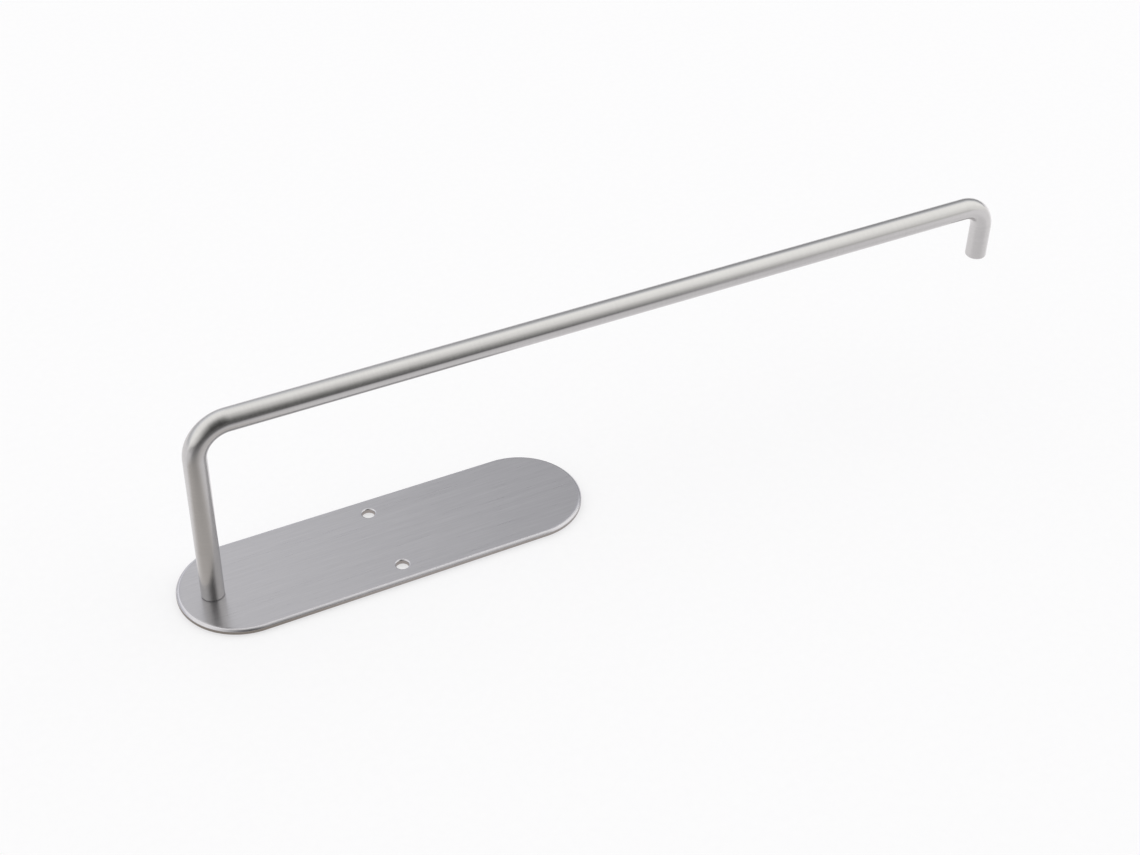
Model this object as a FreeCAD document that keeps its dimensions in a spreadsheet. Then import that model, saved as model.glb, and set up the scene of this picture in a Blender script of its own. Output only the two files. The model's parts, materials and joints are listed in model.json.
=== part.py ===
import FreeCAD, Part
import math
import os

import Sketcher

# Paper towel holder of the under-cabinet kind, in millimetres, standing on its mounting face.
# A flat stadium plate carries one bent round bar: a leg rises from the plate's left end, the bar runs
# level above the plate and on past its right end, and a short hook at the free end keeps the roll on.
# +Z is up, +X runs along the bar from the leg to the hook, and the origin is the centre of the
# underside, on the face of the peel-off liner.

# ---- driving sizes ----

SIZES = {
    "rod_diameter": 8.0,           # solid round stainless bar
    "bar_height": 70.5,            # plate's top to the bar's axis
    "bar_reach": 312.0,            # leg's axis to the hook's axis
    "hook_drop": 23.0,             # bar's axis to the hook's end
    "leg_bend": 12.0,              # centreline radius between leg and bar
    "hook_bend": 10.0,             # centreline radius between bar and hook
    "foot_bevel": 0.3,             # turned edge where the leg meets the plate
    "tip_round": 1.0,              # rounded edge at the hook's end
    "plate_length": 150.0,
    "plate_width": 45.0,
    "plate_thickness": 2.0,
    "plate_bevel": 0.65,           # polished bevel round the top edge
    "plate_deburr": 0.2,           # broken edges on the underside
    "leg_inset": 12.0,             # plate's left end to the leg's axis
    "hole_spacing": 30.0,          # between the two wall screws, across the plate
    "hole_diameter": 4.5,          # clearance for a 4 mm wall screw
    "hole_bevel": 0.5,
    "screw_length": 10.0,          # M4 countersunk screw, over all
    "screw_diameter": 3.9,         # plain cylinder in place of the thread
    "screw_clearance": 4.5,        # hole in the plate for the M4 screw
    "screw_tip_bevel": 0.5,
    "head_diameter": 7.6,
    "head_rim": 0.15,              # straight edge round the countersunk head
    "head_edge_bevel": 0.1,
    "head_recess": 0.1,            # how far the head lies below the plate's underside
    "head_seat_gap": 0.02,
    "socket_width": 2.5,           # hexagon socket, across the flats
    "socket_depth": 1.4,
    "tapped_diameter": 4.0,        # plain bore in place of the M4 thread in the leg
    "tapped_depth": 9.5,
    "tapped_mouth": 4.6,           # countersunk mouth of that bore
    "pad_thickness": 0.4,          # double-sided foam
    "pad_inset": 2.0,              # plate's edge to the pad's edge
    "liner_thickness": 0.1,        # peel-off film
    "liner_inset": 1.5,            # plate's edge to the liner's edge
    "pad_hole": 7.0,               # opening round each wall screw
    "pad_screw_hole": 10.0,        # opening round the bar screw's head
}

COUNTERSINK_ANGLE = 90
DRILL_POINT_ANGLE = 118
FULL_TURN = 360
LEAST_CUT = 0.1                    # mm3, any real cut here removes more
SAME_PLACE = 1e-6                  # mm

# Two places are shared by several pieces: the leg's axis, and the farther of the two wall screws.
LEG_PLACE = (SIZES["leg_inset"] - SIZES["plate_length"] / 2, 0)
LEG_TEXT = ("Sizes.leg_inset - Sizes.plate_length / 2", "0")
FAR_HOLE_PLACE = (0, SIZES["hole_spacing"] / 2)
FAR_HOLE_TEXT = ("0", "Sizes.hole_spacing / 2")
NEAR_HOLE_PLACE = (0, -SIZES["hole_spacing"] / 2)
NEAR_HOLE_TEXT = ("0", "-Sizes.hole_spacing / 2")
MIDDLE_PLACE = (0, 0)
MIDDLE_TEXT = ("0", "0")

# A sketch's own origin and X axis, and the numbers of a line's or arc's points.
ORIGIN_POINT = (-1, 1)
SKETCH_X_AXIS = -1
START = 1
END = 2
CENTRE = 3

UPRIGHT = FreeCAD.Vector(0, 0, 1)
QUARTER_TURN = math.pi / 2


def fill_sheet(doc):
    """The spreadsheet that drives every size: one name and one number in each row."""
    sheet = doc.addObject("Spreadsheet::Sheet", "Sizes")
    for row, (name, value) in enumerate(SIZES.items(), start=1):
        sheet.set(f"A{row}", name.replace("_", " "))
        sheet.set(f"B{row}", str(value))
        sheet.setAlias(f"B{row}", name)
    doc.recompute()


# ---- bodies, features and edges ----


def new_body(doc, name, height_text="0"):
    """A body whose own zero height lies at the given expression above the underside."""
    body = doc.addObject("PartDesign::Body", name)
    body.Label = name
    body.setExpression("Placement.Base.z", height_text)
    return body


def origin_plane(body, role):
    """One of the body's own origin planes, found by its role."""
    return next(item for item in body.Origin.OriginFeatures if item.Role == role)


def add_feature(body, kind, name, must_cut=False, **settings):
    """A PartDesign feature. A setting that starts with an equals sign is an expression."""
    before = body.Tip.Shape.Volume if body.Tip else 0
    feature = body.newObject(f"PartDesign::{kind}", name)
    body.Document.recompute()
    for setting, value in settings.items():
        if isinstance(value, str) and value.startswith("="):
            feature.setExpression(setting, value[1:])
        else:
            setattr(feature, setting, value)
    body.Document.recompute()
    if must_cut and feature.Shape.Volume > before - LEAST_CUT:
        raise RuntimeError(f"{name} removes no material")
    return feature


def level_edges(feature, height, radius=None):
    """Names of the feature's edges that lie level at one height, or only its circles of one radius."""
    names = []
    for number, edge in enumerate(feature.Shape.Edges, start=1):
        box = edge.BoundBox
        wanted = box.ZLength < SAME_PLACE and abs(box.ZMin - height) < SAME_PLACE
        if wanted and radius:
            round_edge = edge.Curve.TypeId == "Part::GeomCircle"
            wanted = round_edge and abs(edge.Curve.Radius - radius) < SAME_PLACE
        if wanted:
            names.append(f"Edge{number}")
    return names


# ---- sketches ----


def vector(x, y):
    return FreeCAD.Vector(x, y, 0)


def new_sketch(body, name, role, offset_text="0"):
    """A sketch parallel to one of the body's origin planes, at the offset expression from it."""
    sketch = body.newObject("Sketcher::SketchObject", name)
    sketch.AttachmentSupport = (origin_plane(body, role), [""])
    sketch.MapMode = "FlatFace"
    sketch.setExpression("AttachmentOffset.Base.z", offset_text)
    return sketch


def bind(sketch, constraint, name, expression):
    """Adds a dimension, names it and ties it to the sheet."""
    index = sketch.addConstraint(constraint)
    sketch.renameConstraint(index, name)
    sketch.setExpression(f"Constraints.{name}", expression)


def draw_loop(sketch, corners):
    """A closed outline of straight lines through the corners, joined end to end."""
    lines = []
    for corner, following in zip(corners, corners[1:] + corners[:1]):
        lines.append(sketch.addGeometry(Part.LineSegment(corner, following)))
    for line, following in zip(lines, lines[1:] + lines[:1]):
        sketch.addConstraint(Sketcher.Constraint("Coincident", line, END, following, START))
    return lines


def draw_circle(sketch, name, place, place_text, diameter_name):
    """A circle placed from the origin by two dimensions, each with its expression."""
    diameter = SIZES[diameter_name]
    index = sketch.addGeometry(Part.Circle(vector(*place), UPRIGHT, diameter / 2))
    for kind, value, text, word in zip(("DistanceX", "DistanceY"), place, place_text, ("x", "y")):
        constraint = Sketcher.Constraint(kind, *ORIGIN_POINT, index, CENTRE, value)
        bind(sketch, constraint, f"{name}_{word}", text)
    bind(sketch, Sketcher.Constraint("Diameter", index, diameter), f"{name}_diameter",
         f"Sizes.{diameter_name}")


def draw_stadium(sketch, inset_name=None):
    """A slot-shaped outline centred on the origin: two straight sides and two half-round ends."""
    inset = SIZES[inset_name] if inset_name else 0
    inset_text = f"Sizes.{inset_name}" if inset_name else "0"
    radius = SIZES["plate_width"] / 2 - inset
    middle = (SIZES["plate_length"] - SIZES["plate_width"]) / 2
    right_circle = Part.Circle(vector(middle, 0), UPRIGHT, radius)
    left_circle = Part.Circle(vector(-middle, 0), UPRIGHT, radius)
    right = sketch.addGeometry(Part.ArcOfCircle(right_circle, -QUARTER_TURN, QUARTER_TURN))
    left = sketch.addGeometry(Part.ArcOfCircle(left_circle, QUARTER_TURN, 3 * QUARTER_TURN))
    back = sketch.addGeometry(Part.LineSegment(vector(middle, radius), vector(-middle, radius)))
    front = sketch.addGeometry(Part.LineSegment(vector(-middle, -radius), vector(middle, -radius)))
    outline = [right, back, left, front]
    for curve, following in zip(outline, outline[1:] + outline[:1]):
        sketch.addConstraint(Sketcher.Constraint("Tangent", curve, END, following, START))
    sketch.addConstraint(Sketcher.Constraint("Horizontal", back))
    sketch.addConstraint(Sketcher.Constraint("Equal", left, right))
    sketch.addConstraint(Sketcher.Constraint("Symmetric", left, CENTRE, right, CENTRE, *ORIGIN_POINT))
    bind(sketch, Sketcher.Constraint("Radius", right, radius), "end_radius",
         f"Sizes.plate_width / 2 - {inset_text}")
    bind(sketch, Sketcher.Constraint("DistanceX", left, CENTRE, right, CENTRE, 2 * middle),
         "centre_distance", "Sizes.plate_length - Sizes.plate_width")


# ---- liner and foam pad ----


def draw_pad_outline(sketch, inset_name):
    """The die-cut outline: a stadium with openings round the two wall screws and the bar's screw."""
    draw_stadium(sketch, inset_name)
    draw_circle(sketch, "far_hole", FAR_HOLE_PLACE, FAR_HOLE_TEXT, "pad_hole")
    draw_circle(sketch, "near_hole", NEAR_HOLE_PLACE, NEAR_HOLE_TEXT, "pad_hole")
    draw_circle(sketch, "screw_hole", LEG_PLACE, LEG_TEXT, "pad_screw_hole")


def build_release_liner(doc):
    """Thin film that covers the adhesive until the holder is put up."""
    body = new_body(doc, "release_liner")
    outline = new_sketch(body, "liner_outline", "XY_Plane")
    draw_pad_outline(outline, "liner_inset")
    add_feature(body, "Pad", "liner_film", Profile=outline, Length="=Sizes.liner_thickness")
    return body


def build_adhesive_pad(doc):
    """Double-sided foam pad, die-cut a little smaller than the plate."""
    body = new_body(doc, "adhesive_pad", "Sizes.liner_thickness")
    outline = new_sketch(body, "pad_outline", "XY_Plane")
    draw_pad_outline(outline, "pad_inset")
    add_feature(body, "Pad", "pad_foam", Profile=outline, Length="=Sizes.pad_thickness")
    return body


# ---- plate ----


def build_base_plate(doc):
    """Stadium plate with a polished bevel, two wall-screw holes and a countersunk seat for the bar."""
    body = new_body(doc, "base_plate", "Sizes.liner_thickness + Sizes.pad_thickness")
    outline = new_sketch(body, "plate_outline", "XY_Plane")
    draw_stadium(outline)
    blank = add_feature(body, "Pad", "plate_blank", Profile=outline, Length="=Sizes.plate_thickness")
    top_edges = level_edges(blank, SIZES["plate_thickness"])
    add_feature(body, "Chamfer", "top_bevel", True, Base=(blank, top_edges), Size="=Sizes.plate_bevel")
    add_wall_screw_holes(body)
    seat = add_bar_screw_seat(body)

    sharp_edges = level_edges(seat, 0, SIZES["plate_width"] / 2)
    sharp_edges += level_edges(seat, 0, SIZES["hole_diameter"] / 2)
    add_feature(body, "Chamfer", "underside_deburr", True, Base=(seat, sharp_edges),
                Size="=Sizes.plate_deburr")
    return body


def add_wall_screw_holes(body):
    """Two through holes with bevelled rims, one drilled and one mirrored across the plate."""
    mark = new_sketch(body, "wall_screw_mark", "XY_Plane", "Sizes.plate_thickness")
    draw_circle(mark, "hole", FAR_HOLE_PLACE, FAR_HOLE_TEXT, "hole_diameter")
    hole = add_feature(body, "Hole", "far_screw_hole", True, Profile=mark, DepthType="ThroughAll",
                       HoleCutType="Countersink", HoleCutCustomValues=True,
                       HoleCutCountersinkAngle=COUNTERSINK_ANGLE, Diameter="=Sizes.hole_diameter",
                       HoleCutDiameter="=Sizes.hole_diameter + 2 * Sizes.hole_bevel")
    body.Tip = add_feature(body, "Mirrored", "near_screw_hole", True, Originals=[hole],
                           MirrorPlane=(origin_plane(body, "XZ_Plane"), [""]))
    body.Document.recompute()


def add_bar_screw_seat(body):
    """Clearance hole under the leg, countersunk from the underside so that the head lies below it."""
    mark = new_sketch(body, "bar_screw_mark", "XY_Plane")
    draw_circle(mark, "hole", LEG_PLACE, LEG_TEXT, "screw_clearance")
    head_depth = "(Sizes.head_recess + Sizes.head_rim + Sizes.head_seat_gap)"
    return add_feature(body, "Hole", "bar_screw_seat", True, Profile=mark, DepthType="ThroughAll",
                       Reversed=True, HoleCutType="Countersink", HoleCutCustomValues=True,
                       HoleCutCountersinkAngle=COUNTERSINK_ANGLE, Diameter="=Sizes.screw_clearance",
                       HoleCutDiameter=f"=Sizes.head_diameter + 2 * {head_depth}")


# ---- bar ----


def build_towel_bar(doc):
    """One round bar, bent twice: leg, level bar and hook, with a blind tapped hole in the foot."""
    foot_text = "Sizes.liner_thickness + Sizes.pad_thickness + Sizes.plate_thickness"
    body = new_body(doc, "towel_bar", foot_text)
    body.setExpression("Placement.Base.x", LEG_TEXT[0])
    path = new_sketch(body, "bar_path", "XZ_Plane")
    draw_bar_path(path)
    section = new_sketch(body, "bar_section", "XY_Plane")
    draw_circle(section, "rod", MIDDLE_PLACE, MIDDLE_TEXT, "rod_diameter")
    rod = add_feature(body, "AdditivePipe", "bent_rod", Profile=section, Spine=(path, [""]))

    radius = SIZES["rod_diameter"] / 2
    tip_height = SIZES["bar_height"] - SIZES["hook_drop"]
    foot = add_feature(body, "Chamfer", "foot_bevel", True, Base=(rod, level_edges(rod, 0, radius)),
                       Size="=Sizes.foot_bevel")
    tip_edge = level_edges(foot, tip_height, radius)
    add_feature(body, "Fillet", "tip_round", True, Base=(foot, tip_edge), Radius="=Sizes.tip_round")

    mark = new_sketch(body, "tapped_hole_mark", "XY_Plane")
    draw_circle(mark, "bore", MIDDLE_PLACE, MIDDLE_TEXT, "tapped_diameter")
    add_feature(body, "Hole", "tapped_hole", True, Profile=mark, DepthType="Dimension", Reversed=True,
                DrillPoint="Angled", DrillPointAngle=DRILL_POINT_ANGLE, HoleCutType="Countersink",
                HoleCutCustomValues=True, HoleCutCountersinkAngle=COUNTERSINK_ANGLE,
                Diameter="=Sizes.tapped_diameter", Depth="=Sizes.tapped_depth",
                HoleCutDiameter="=Sizes.tapped_mouth")
    return body


def draw_bar_path(sketch):
    """The bar's centreline: up the leg, a bend, along the bar, a bend and down the hook."""
    height = SIZES["bar_height"]
    reach = SIZES["bar_reach"]
    drop = SIZES["hook_drop"]
    leg_bend = SIZES["leg_bend"]
    hook_bend = SIZES["hook_bend"]
    leg_circle = Part.Circle(vector(leg_bend, height - leg_bend), UPRIGHT, leg_bend)
    hook_circle = Part.Circle(vector(reach - hook_bend, height - hook_bend), UPRIGHT, hook_bend)
    bar_start = vector(leg_bend, height)
    bar_end = vector(reach - hook_bend, height)
    hook_top = vector(reach, height - hook_bend)

    leg = sketch.addGeometry(Part.LineSegment(vector(0, 0), vector(0, height - leg_bend)))
    first = sketch.addGeometry(Part.ArcOfCircle(leg_circle, QUARTER_TURN, 2 * QUARTER_TURN))
    level = sketch.addGeometry(Part.LineSegment(bar_start, bar_end))
    second = sketch.addGeometry(Part.ArcOfCircle(hook_circle, 0, QUARTER_TURN))
    hook = sketch.addGeometry(Part.LineSegment(hook_top, vector(reach, height - drop)))

    sketch.addConstraint(Sketcher.Constraint("Coincident", leg, START, *ORIGIN_POINT))
    sketch.addConstraint(Sketcher.Constraint("Vertical", leg))
    sketch.addConstraint(Sketcher.Constraint("Tangent", leg, END, first, END))
    sketch.addConstraint(Sketcher.Constraint("Tangent", first, START, level, START))
    sketch.addConstraint(Sketcher.Constraint("Horizontal", level))
    sketch.addConstraint(Sketcher.Constraint("Tangent", level, END, second, END))
    sketch.addConstraint(Sketcher.Constraint("Tangent", second, START, hook, START))
    bind(sketch, Sketcher.Constraint("Radius", first, leg_bend), "leg_bend", "Sizes.leg_bend")
    bind(sketch, Sketcher.Constraint("Radius", second, hook_bend), "hook_bend", "Sizes.hook_bend")
    bind(sketch, Sketcher.Constraint("DistanceY", *ORIGIN_POINT, level, START, height),
         "bar_height", "Sizes.bar_height")
    bind(sketch, Sketcher.Constraint("DistanceX", *ORIGIN_POINT, hook, START, reach),
         "bar_reach", "Sizes.bar_reach")
    bind(sketch, Sketcher.Constraint("DistanceX", hook, END, hook, START, 0), "hook_lean", "0")
    bind(sketch, Sketcher.Constraint("DistanceY", hook, END, level, END, drop),
         "hook_drop", "Sizes.hook_drop")


# ---- screw that holds the bar ----


def build_bar_screw(doc):
    """Countersunk socket screw, driven up through the plate into the leg. Its head faces down."""
    face_text = "Sizes.liner_thickness + Sizes.pad_thickness + Sizes.head_recess"
    body = new_body(doc, "bar_screw", face_text)
    body.setExpression("Placement.Base.x", LEG_TEXT[0])
    profile = new_sketch(body, "screw_profile", "XZ_Plane")
    draw_screw_profile(profile)
    add_feature(body, "Revolution", "screw_blank", Profile=profile, ReferenceAxis=(profile, ["V_Axis"]),
                Angle=FULL_TURN)
    socket = new_sketch(body, "socket_outline", "XY_Plane")
    draw_hexagon(socket)
    add_feature(body, "Pocket", "socket", True, Profile=socket, Reversed=True,
                Length="=Sizes.socket_depth")
    return body


def draw_screw_profile(sketch):
    """Half section of the screw: flat face, rim, cone, shank and bevelled tip, about the upright axis."""
    head = SIZES["head_diameter"] / 2
    shank = SIZES["screw_diameter"] / 2
    edge = SIZES["head_edge_bevel"]
    rim_top = SIZES["head_rim"]
    cone_top = rim_top + head - shank
    length = SIZES["screw_length"]
    tip = SIZES["screw_tip_bevel"]
    lines = draw_loop(sketch, [
        vector(0, 0),
        vector(head - edge, 0),
        vector(head, edge),
        vector(head, rim_top),
        vector(shank, cone_top),
        vector(shank, length - tip),
        vector(shank - tip, length),
        vector(0, length),
    ])
    face, _, rim, cone, side, tip_bevel, end, middle = lines
    sketch.addConstraint(Sketcher.Constraint("Coincident", face, START, *ORIGIN_POINT))
    for line in (face, end):
        sketch.addConstraint(Sketcher.Constraint("Horizontal", line))
    for line in (rim, side, middle):
        sketch.addConstraint(Sketcher.Constraint("Vertical", line))
    head_text = "Sizes.head_diameter / 2"
    shank_text = "Sizes.screw_diameter / 2"
    dimensions = [
        ("DistanceX", rim, START, head, "head_radius", head_text),
        ("DistanceX", face, END, head - edge, "face_radius", f"{head_text} - Sizes.head_edge_bevel"),
        ("DistanceY", rim, START, edge, "edge_bevel", "Sizes.head_edge_bevel"),
        ("DistanceY", rim, END, rim_top, "rim_height", "Sizes.head_rim"),
        ("DistanceX", side, START, shank, "shank_radius", shank_text),
        ("DistanceY", cone, END, cone_top, "cone_height", f"Sizes.head_rim + {head_text} - {shank_text}"),
        ("DistanceY", end, START, length, "over_all", "Sizes.screw_length"),
        ("DistanceY", tip_bevel, START, length - tip, "tip_start",
         "Sizes.screw_length - Sizes.screw_tip_bevel"),
        ("DistanceX", end, START, shank - tip, "tip_radius", f"{shank_text} - Sizes.screw_tip_bevel"),
    ]
    for kind, line, point, value, name, expression in dimensions:
        constraint = Sketcher.Constraint(kind, *ORIGIN_POINT, line, point, value)
        bind(sketch, constraint, name, expression)


def draw_hexagon(sketch):
    """A regular hexagon round the origin, with its corners on a construction circle."""
    corner_radius = SIZES["socket_width"] / math.sqrt(3)
    spoke = vector(corner_radius, 0)
    turns = [FreeCAD.Rotation(UPRIGHT, FULL_TURN * number / 6) for number in range(6)]
    sides = draw_loop(sketch, [turn.multVec(spoke) for turn in turns])
    circle = sketch.addGeometry(Part.Circle(vector(0, 0), UPRIGHT, corner_radius), True)
    sketch.addConstraint(Sketcher.Constraint("Coincident", circle, CENTRE, *ORIGIN_POINT))
    for side in sides:
        sketch.addConstraint(Sketcher.Constraint("PointOnObject", side, END, circle))
    for side in sides[1:]:
        sketch.addConstraint(Sketcher.Constraint("Equal", sides[0], side))
    sketch.addConstraint(Sketcher.Constraint("PointOnObject", sides[0], START, SKETCH_X_AXIS))
    bind(sketch, Sketcher.Constraint("Radius", circle, corner_radius), "corner_radius",
         "Sizes.socket_width / sqrt(3)")


# ---- the whole holder ----


def check_document(doc, bodies):
    """Stops the build if any object failed, any sketch is loose or any piece is not one sound solid."""
    for item in doc.Objects:
        if "Invalid" in item.State or "Error" in item.State:
            raise RuntimeError(f"{item.Label} did not compute: {item.State}")
        if item.TypeId == "Sketcher::SketchObject" and not item.FullyConstrained:
            raise RuntimeError(f"{item.Label} is not fully constrained")
    for body in bodies:
        shape = body.Shape
        if shape.isNull() or not shape.isValid() or len(shape.Solids) != 1:
            raise RuntimeError(f"{body.Label} is not one sound solid")


def main():
    doc = FreeCAD.newDocument("paper_towel_holder")
    fill_sheet(doc)
    bodies = [
        build_release_liner(doc),
        build_adhesive_pad(doc),
        build_base_plate(doc),
        build_bar_screw(doc),
        build_towel_bar(doc),
    ]
    doc.recompute()
    check_document(doc, bodies)
    os.makedirs("parts", exist_ok=True)
    for body in bodies:
        body.Shape.exportStep(os.path.join("parts", f"{body.Label}.step"))


main()
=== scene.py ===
"""Shown surfaces of a wall or cupboard paper towel holder: a bent steel bar screwed to a brushed steel
plate, with its adhesive pad and release liner, on a pale studio floor. Metres, +Z up, the CAD frame."""

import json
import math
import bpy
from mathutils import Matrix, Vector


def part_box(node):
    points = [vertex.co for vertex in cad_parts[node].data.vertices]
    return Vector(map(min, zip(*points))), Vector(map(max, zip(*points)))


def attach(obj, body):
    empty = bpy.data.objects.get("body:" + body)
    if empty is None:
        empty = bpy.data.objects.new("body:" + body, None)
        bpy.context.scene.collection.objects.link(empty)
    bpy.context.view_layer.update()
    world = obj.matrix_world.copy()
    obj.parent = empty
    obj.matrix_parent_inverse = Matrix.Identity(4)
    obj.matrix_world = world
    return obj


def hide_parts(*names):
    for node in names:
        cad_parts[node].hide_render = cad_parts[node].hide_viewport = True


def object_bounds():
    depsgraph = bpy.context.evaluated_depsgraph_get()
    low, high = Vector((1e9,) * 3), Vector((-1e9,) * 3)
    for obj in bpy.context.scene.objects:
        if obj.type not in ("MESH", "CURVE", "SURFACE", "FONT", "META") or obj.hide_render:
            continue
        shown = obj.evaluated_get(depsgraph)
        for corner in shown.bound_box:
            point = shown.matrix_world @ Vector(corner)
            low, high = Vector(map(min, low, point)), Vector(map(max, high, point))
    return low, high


bl_info = {
    "name": "Paper Towel Holder",
    "version": (1, 0, 0),
    "blender": (4, 5, 0),
    "location": "3D View > Sidebar > Towel Holder",
    "description": "Builds the steel, foam and film surfaces of a paper towel holder round its CAD frame",
    "category": "Add Mesh",
}

import bmesh
import bpy
import numpy as np
from bpy.props import FloatProperty, FloatVectorProperty, PointerProperty
from mathutils import Matrix, Vector, noise

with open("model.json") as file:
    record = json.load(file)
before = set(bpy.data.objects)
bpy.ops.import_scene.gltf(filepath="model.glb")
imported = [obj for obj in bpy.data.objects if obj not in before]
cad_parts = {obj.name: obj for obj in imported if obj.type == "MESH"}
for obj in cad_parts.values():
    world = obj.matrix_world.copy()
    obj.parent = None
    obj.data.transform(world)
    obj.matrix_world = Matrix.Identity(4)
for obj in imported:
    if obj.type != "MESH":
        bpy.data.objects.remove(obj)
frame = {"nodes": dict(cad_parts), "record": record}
CAD_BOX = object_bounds()

MM = 0.001
GRAIN_MAP = "grain"
SHARP_ANGLE = math.radians(32)
RINGS_A_TURN = 8
FLOOR_DROP = 0.1 * MM
MOUNTS = {mount["name"]: mount for mount in frame["record"]["mounts"]}

PAD_LOW, PAD_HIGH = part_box("adhesive_pad")
LINER_LOW, LINER_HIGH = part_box("release_liner")
PLATE_LOW, PLATE_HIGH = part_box("base_plate")
SCREW_LOW, SCREW_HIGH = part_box("bar_screw")
BAR_LOW, BAR_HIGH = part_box("towel_bar")
LEG_X = (SCREW_LOW.x + SCREW_HIGH.x) / 2
BAR_RADIUS = LEG_X - BAR_LOW.x


def linear(hex_colour):
    """Turns an sRGB hex colour such as #C8C4BE into linear red, green and blue."""
    shares = [int(hex_colour[start : start + 2], 16) / 255 for start in (1, 3, 5)]
    return tuple(s / 12.92 if s <= 0.04045 else ((s + 0.055) / 1.055) ** 2.4 for s in shares)


def length(name, description, default):
    """A length property in metres, with the name, description and default given."""
    return FloatProperty(
        name=name, description=description, default=default, min=0, unit="LENGTH", precision=5
    )


def colour(name, description, hex_colour):
    """A colour property whose default is an sRGB hex colour."""
    return FloatVectorProperty(
        name=name,
        description=description,
        default=linear(hex_colour),
        size=3,
        min=0,
        max=1,
        subtype="COLOR",
    )


def share(name, description, default):
    """A property from 0 to 1."""
    return FloatProperty(name=name, description=description, default=default, min=0, max=1, subtype="FACTOR")


def turn(name, description, degrees):
    """An angle property whose default is given in degrees."""
    return FloatProperty(
        name=name, description=description, default=math.radians(degrees), subtype="ANGLE", unit="ROTATION"
    )


class TowelBarSettings(bpy.types.PropertyGroup):
    """The bent rod that carries the roll."""

    leg_bend: length("Leg bend", "Centreline radius of the bend above the leg", 12 * MM)
    hook_bend: length("Hook bend", "Centreline radius of the bend at the far end", 10 * MM)
    tip_round: length("Tip round", "Radius round the hook's end", 1.0 * MM)
    foot_bevel: length("Foot bevel", "Bevel round the leg's foot", 0.3 * MM)
    bore_depth: length("Bore depth", "Straight depth of the tapped hole in the foot", 9.5 * MM)
    bore_radius: length("Bore radius", "Major radius of the thread in the foot", 2.0 * MM)
    mouth_radius: length("Mouth radius", "Radius of the tapped hole's bevelled mouth", 2.3 * MM)
    steel: colour("Steel", "Colour of the polished rod", "#C6C5C4")
    roughness: share("Roughness", "Roughness of the belt polish", 0.2)
    grain_pitch: length("Grain pitch", "Spacing of the polishing grain", 0.3 * MM)


class BasePlateSettings(bpy.types.PropertyGroup):
    """The brushed plate with two wall-screw holes."""

    bevel: length("Bevel", "Bevel round the plate's upper edge", 0.65 * MM)
    deburr: length("Deburr", "Broken edge round the plate's underside", 0.2 * MM)
    hole_bevel: length("Hole bevel", "Bevel round each wall-screw hole", 0.3 * MM)
    corner_round: length("Corner round", "Radius that tumbling leaves on the smaller edges", 0.08 * MM)
    edge_round: length("Edge round", "How softly the bevel runs into the face and the wall", 0.5 * MM)
    seat_radius: length("Seat radius", "Wide radius of the bar screw's conical seat", 4.07 * MM)
    seat_depth: length("Seat depth", "Depth of the bar screw's conical seat", 1.82 * MM)
    passage_radius: length("Passage radius", "Radius of the bar screw's passage", 2.25 * MM)
    steel: colour("Steel", "Colour of the brushed face", "#B0AFB2")
    roughness: share("Roughness", "Roughness of the brushed face", 0.3)
    grain_pitch: length("Grain pitch", "Spacing of the brushed lines", 0.45 * MM)
    grain_length: length("Grain length", "Usual length of a brushed line", 18 * MM)


class BarScrewSettings(bpy.types.PropertyGroup):
    """The countersunk socket screw that holds the bar's foot."""

    shank_radius: length("Shank radius", "Radius over the thread's crests", 1.95 * MM)
    thread_depth: length("Thread depth", "Depth of the thread", 0.43 * MM)
    pitch: length("Pitch", "Rise of the thread in one turn", 0.7 * MM)
    socket_width: length("Socket width", "Width across the flats of the hexagon socket", 2.5 * MM)
    socket_depth: length("Socket depth", "Depth of the hexagon socket", 1.4 * MM)
    head_height: length("Head height", "Height of the head, from its face to the shank", 2.0 * MM)
    steel: colour("Steel", "Colour of the screw", "#C2BFBA")
    roughness: share("Roughness", "Roughness of the rolled and turned steel", 0.3)


class AdhesivePadSettings(bpy.types.PropertyGroup):
    """The foam pad that sticks the plate to a wall or cupboard."""

    wall_hole: length("Wall hole", "Radius of the cut-outs round the wall screws", 3.5 * MM)
    head_hole: length("Head hole", "Radius of the cut-out round the bar screw's head", 5.0 * MM)
    pull_in: length("Pull-in", "How far the cut edge pulls in at its two skins", 0.06 * MM)
    cell_depth: length("Cell depth", "Depth of the opened cells in the cut edge", 0.04 * MM)
    cell_size: length("Cell size", "Width of a foam cell", 0.25 * MM)
    foam: colour("Foam", "Colour of the foam", "#E4E3DC")


class ReleaseLinerSettings(bpy.types.PropertyGroup):
    """The film that covers the pad's adhesive until it is stuck on."""

    ripple: length("Ripple", "Height of the ripple along the film's free rim", 0.05 * MM)
    ripple_pitch: length("Ripple pitch", "Spacing of that ripple", 7 * MM)
    film: colour("Film", "Colour of the film", "#C2352B")
    roughness: share("Roughness", "Roughness of the film", 0.28)
    emboss_pitch: length("Emboss pitch", "Spacing of the embossed diamonds", 1.2 * MM)


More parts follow.
